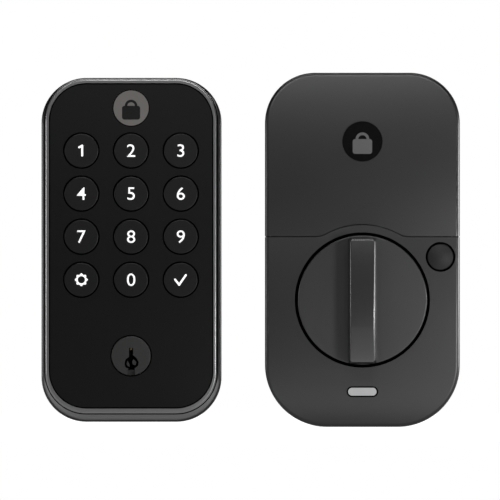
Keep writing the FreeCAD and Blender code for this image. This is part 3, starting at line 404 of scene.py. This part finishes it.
# ---- Signs on the keys and badges ----
SIGN_THICK = 0.16 * MM
SIGN_PROUD = 0.05 * MM
DIGIT_HEIGHT = 5.3 * MM
DIGIT_STRETCH = 1.06
DIGIT_WIDEN = 0.01 * MM
TYPE_SIZE = 6.4 * MM
STROKE_WIDTH = 0.85 * MM
RING_R = 2.75 * MM
RING_LOBE = 0.55 * MM
RING_LOBES = 8
RING_HOLE_R = 1.5 * MM
BADGE_PADLOCK = 7.6 * MM
COVER_PADLOCK = 8.2 * MM


def on_front(node):
    """Where the middle of a thin sign sits so that it stands just proud of a node's front."""
    return front_of(node) + BACK * (SIGN_THICK / 2 - SIGN_PROUD)


def digit_shape(digit):
    """A digit in type, set to the height of the key signs and centred on the origin."""
    text = bpy.data.curves.new("digit", "FONT")
    text.body = digit
    text.size = TYPE_SIZE
    text.offset = DIGIT_WIDEN
    text.resolution_u = 8
    holder = bpy.data.objects.new("digit", text)
    bpy.context.scene.collection.objects.link(holder)
    bpy.context.view_layer.update()
    flat = bpy.data.meshes.new_from_object(holder)
    bpy.data.objects.remove(holder)
    bm = bmesh.new()
    bm.from_mesh(flat)
    bpy.data.meshes.remove(flat)
    bmesh.ops.remove_doubles(bm, verts=bm.verts, dist=0.001 * MM)
    low = [min(v.co[axis] for v in bm.verts) for axis in (0, 1)]
    high = [max(v.co[axis] for v in bm.verts) for axis in (0, 1)]
    move(bm, (-(low[0] + high[0]) / 2, -(low[1] + high[1]) / 2, 0))
    size = DIGIT_HEIGHT / (high[1] - low[1])
    bmesh.ops.scale(bm, vec=(size * DIGIT_STRETCH, size, 1), verts=bm.verts)
    stand_up(bm, SIGN_THICK)
    return bm


def settings_ring():
    """A ring whose outer edge swells into round lobes."""
    bm = bmesh.new()
    lobed_loop(bm, RING_R, RING_LOBE, RING_LOBES)
    lobed_loop(bm, RING_HOLE_R)
    fill_between(bm)
    stand_up(bm, SIGN_THICK)
    return bm


def stroke(bm, start, end):
    """Adds a flat bar with round ends between two points of the X-Y plane."""
    start, end = Vector((*start, 0)), Vector((*end, 0))
    along = end - start
    bar = bmesh.ops.create_circle(bm, cap_ends=True, segments=32, radius=STROKE_WIDTH / 2)["verts"]
    far = [v for v in bar if v.co.x > 0]
    bmesh.ops.translate(bm, vec=(along.length, 0, 0), verts=far)
    turn = Matrix.Rotation(math.atan2(along.y, along.x), 3, "Z")
    bmesh.ops.rotate(bm, matrix=turn, verts=bar)
    bmesh.ops.translate(bm, vec=start, verts=bar)


def strokes(*points):
    """A sign drawn with one bent line through points given in millimetres."""
    bm = bmesh.new()
    places = [(x * MM, y * MM) for x, y in points]
    for start, end in zip(places, places[1:]):
        stroke(bm, start, end)
    stand_up(bm, SIGN_THICK)
    return bm


def padlock(size):
    """A plain padlock sign: a rounded body under a half-round shackle."""
    body = rounded_panel(size, size * 0.76, size * 0.13, segments=6)
    move(body, (0, -size * 0.26, 0))
    shackle = bmesh.new()
    for radius in (size * 0.21, size * 0.35):
        bmesh.ops.create_circle(shackle, segments=48, radius=radius)
    fill_between(shackle)
    lower = [f for f in shackle.faces if f.calc_center_median().y < 0]
    bmesh.ops.delete(shackle, geom=lower, context="FACES")
    move(shackle, (0, size * 0.11, 0))
    sign = merged([body, shackle])
    stand_up(sign, SIGN_THICK)
    return sign


def make_signs():
    """One sign on each key, riding with it, and a padlock on each badge."""
    signs = {"key_" + digit: digit_shape(digit) for digit in "023456789"}
    signs["key_1"] = strokes((-0.95, 1.35), (0.35, 2.07), (0.35, -2.07))
    signs["key_settings"] = settings_ring()
    signs["key_enter"] = strokes((-2.4, 0.1), (-0.7, -2.1), (2.15, 1.95))
    for key, sign in signs.items():
        move(sign, on_front(key))
        add_piece(key + "_sign", sign, SIGN_WHITE, key)
    badges = (
        ("exterior_badge", "lock_frame", BADGE_PADLOCK, SIGN_BLACK, "badge_black"),
        ("battery_cover_badge", "battery_door", COVER_PADLOCK, SIGN_GREY, "badge_grey"),
    )
    for node, body, size, material, slot_name in badges:
        sign = padlock(size)
        move(sign, on_front(node))
        add_piece(node + "_padlock", sign, material, body)


# ---- Painted shade: near-black rings and bands in the gaps ----
KEY_MARKS = (*"0123456789", "settings", "enter")
KEY_CAP_D, KEY_GAP = 14.2 * MM, 0.6 * MM
BADGE_D, BADGE_GAP = 14.8 * MM, 0.4 * MM
CYLINDER_D, CYLINDER_GAP = 16.5 * MM, 0.5 * MM
DISC_D, DISC_GAP = 54.2 * MM, 1.3 * MM
DISC_SHADE_FRONT = -30.45 * MM
LENS_W, LENS_H, LENS_BAND = 11.85 * MM, 3.2 * MM, 0.72 * MM
LENS_SHADE_PROUD = 0.06 * MM
SHADE_INNER_SLACK, SHADE_OUTER_SLACK = 0.06 * MM, 0.03 * MM
SHADE_DEPTH = 0.6 * MM

# Width, foot, top and corner radius of the two near-black edge bands of painted shade, in millimetres.
BEZEL_OPENING = (69.2, -22.2, 114.7, 15.75)
BEZEL_SURROUND = (73.0, -24.7, 116.9, 17.6)


def shade_ring(width, height, gap, depth, place):
    """A near-black ring of painted shade that fills most of the gap round something of that width and
    height.
    """
    bm = bmesh.new()
    long_loop(bm, width + 2 * SHADE_INNER_SLACK, height + 2 * SHADE_INNER_SLACK)
    outer = 2 * (gap - SHADE_OUTER_SLACK)
    long_loop(bm, width + outer, height + outer)
    fill_between(bm)
    stand_up(bm, depth)
    move(bm, place + BACK * depth / 2)
    return bm


def edge_shade_band(outline, band, front, depth):
    """A narrow near-black band of painted shade just inside an outline with round corners; all sizes are in
    millimetres.
    """
    width, low, high, corner = outline
    bm = rounded_panel(width * MM, (high - low) * MM, corner * MM, segments=20)
    panel = bm.faces[:]
    bmesh.ops.inset_region(bm, faces=panel, thickness=band * MM, use_even_offset=True, use_boundary=True)
    bmesh.ops.delete(bm, geom=panel, context="FACES")
    stand_up(bm, depth * MM)
    move(bm, Vector((0, front + depth / 2, (low + high) / 2)) * MM)
    return bm


def behind(place, front, step):
    """The same place across the fronts, but a step behind the given front."""
    return Vector((place.x, front + step, place.z))


def make_gap_shades():
    """Near-black rings of painted shade in the gaps round keys, badge, cylinder, disc and lens, and bands
    at two edges.
    """
    face_front = front_of("keypad_face").y
    key_rings = []
    for mark in KEY_MARKS:
        place = behind(front_of("key_" + mark), face_front, 0.2 * MM)
        key_rings.append(shade_ring(KEY_CAP_D, KEY_CAP_D, KEY_GAP, 0.8 * MM, place))
    badge = behind(front_of("exterior_badge"), face_front, 0.3 * MM)
    cylinder = behind(Vector((0, 0, 0)), face_front, 0.3 * MM)
    disc = behind(front_of("thumbturn_disc"), DISC_SHADE_FRONT, 0)
    lens = front_of("status_lens") - BACK * LENS_SHADE_PROUD
    # Every piece below is painted shade: a near-black ring or band put where a gap or edge line falls into
    # shadow.
    shade_pieces = {
        "key_gap_shades": merged(key_rings),
        "face_edge_shade": edge_shade_band(BEZEL_OPENING, band=0.55, front=-23.53, depth=0.4),
        "bezel_edge_shade": edge_shade_band(BEZEL_SURROUND, band=0.45, front=-20.65, depth=0.3),
        "badge_gap_shade": shade_ring(BADGE_D, BADGE_D, BADGE_GAP, SHADE_DEPTH, badge),
        "cylinder_gap_shade": shade_ring(CYLINDER_D, CYLINDER_D, CYLINDER_GAP, SHADE_DEPTH, cylinder),
        "thumbturn_gap_shade": shade_ring(DISC_D, DISC_D, DISC_GAP, 0.7 * MM, disc),
        "status_lens_gap_shade": shade_ring(LENS_W, LENS_H, LENS_BAND, SHADE_DEPTH, lens),
    }
    for name, shade_piece in shade_pieces.items():
        add_piece(name, shade_piece, PAINTED_SHADE_BLACK, "lock_frame")


# ---- Batteries ----
CELL_R = 7.2 * MM
CELL_BODY_LENGTH = 49.2 * MM
CELL_NUB_LENGTH = 1.3 * MM
CELL_COUNT = 4
WRAP_THICK, WRAP_LIP = 0.05 * MM, 0.3 * MM
BAND_LENGTH = 13.0 * MM
BAND_THICK, BAND_LIP = 0.10 * MM, 0.15 * MM
BAND_END = 0.5 * MM


def sleeve(x, y, z_low, z_high, radius, lip):
    """A thin sleeve round an upright cell, its ends turned inwards."""
    outline = ((radius - lip, z_low), (radius, z_low + lip), (radius, z_high - lip), (radius - lip, z_high))
    return spun([(x + r, y, z) for r, z in outline], (x, y, 0), (0, 0, 1), steps=64)


def wrap_batteries():
    """A printed wrap round each cell, and a coloured band at the end that has the nub."""
    low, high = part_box("battery_cells")
    pitch = (high.x - low.x - 2 * CELL_R) / (CELL_COUNT - 1)
    wraps, bands = [], []
    for index in range(CELL_COUNT):
        x, y = low.x + CELL_R + index * pitch, (low.y + high.y) / 2
        nub_up = index % 2 == 0
        foot = high.z - CELL_NUB_LENGTH - CELL_BODY_LENGTH if nub_up else low.z + CELL_NUB_LENGTH
        top = foot + CELL_BODY_LENGTH
        wraps.append(sleeve(x, y, foot + WRAP_LIP, top - WRAP_LIP, CELL_R + WRAP_THICK, WRAP_LIP))
        if nub_up:
            ends = (top - BAND_LENGTH, top - BAND_END)
        else:
            ends = (foot + BAND_END, foot + BAND_LENGTH)
        bands.append(sleeve(x, y, *ends, CELL_R + BAND_THICK, BAND_LIP))
    add_piece("cell_wraps", merged(wraps), CELL_WRAP, "lock_frame")
    add_piece("cell_bands", merged(bands), CELL_BAND, "lock_frame")


# ---- Threads and screw drives ----
POST_R, POST_BORE_R = 4.5 * MM, 2.0 * MM
THREAD_PITCH, THREAD_HEIGHT = 0.8 * MM, 0.25 * MM
THREAD_START, THREAD_TURNS = 0.6 * MM, 16
SCREW_HEAD_R = 3.0 * MM
DRIVE_R, DRIVE_DEPTH = 1.1 * MM, 0.4 * MM
STAR_R, STAR_LOBE, STAR_LOBES = 1.0 * MM, 0.3 * MM, 6


def thread_posts():
    """Ridges down the bores of the two posts, from their open ends."""
    low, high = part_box("mounting_posts")
    ridges = []
    for x in (low.x + POST_R, high.x - POST_R):
        for turn in range(THREAD_TURNS):
            y = high.y - THREAD_START - turn * THREAD_PITCH
            outline = ((POST_BORE_R, y - THREAD_HEIGHT), (POST_BORE_R - THREAD_HEIGHT, y),
                       (POST_BORE_R, y + THREAD_HEIGHT))
            ridge = spun([(x + r, depth, 0) for r, depth in outline], (x, 0, 0), BACK, steps=32)
            bmesh.ops.reverse_faces(ridge, faces=ridge.faces)
            ridges.append(ridge)
    add_piece("post_threads", merged(ridges), ZINC, "lock_frame")


def star_drives():
    """Six-lobed collars in the round drive holes of the keypad half's back screws."""
    low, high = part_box("exterior_screws")
    stars = []
    for x in (low.x + SCREW_HEAD_R, high.x - SCREW_HEAD_R):
        for z in (low.z + SCREW_HEAD_R, high.z - SCREW_HEAD_R):
            star = bmesh.new()
            lobed_loop(star, DRIVE_R)
            lobed_loop(star, STAR_R, STAR_LOBE, STAR_LOBES)
            fill_between(star)
            stand_up(star, DRIVE_DEPTH)
            move(star, (x, high.y - DRIVE_DEPTH / 2, z))
            stars.append(star)
    add_piece("screw_stars", merged(stars), ZINC, "lock_frame")


place_camera()
light_studio()
lay_floor()
dress_cad_nodes()
make_signs()
# Near-black pieces that paint the shade in the gaps and along two edges.
make_gap_shades()
wrap_batteries()
thread_posts()
star_drives()
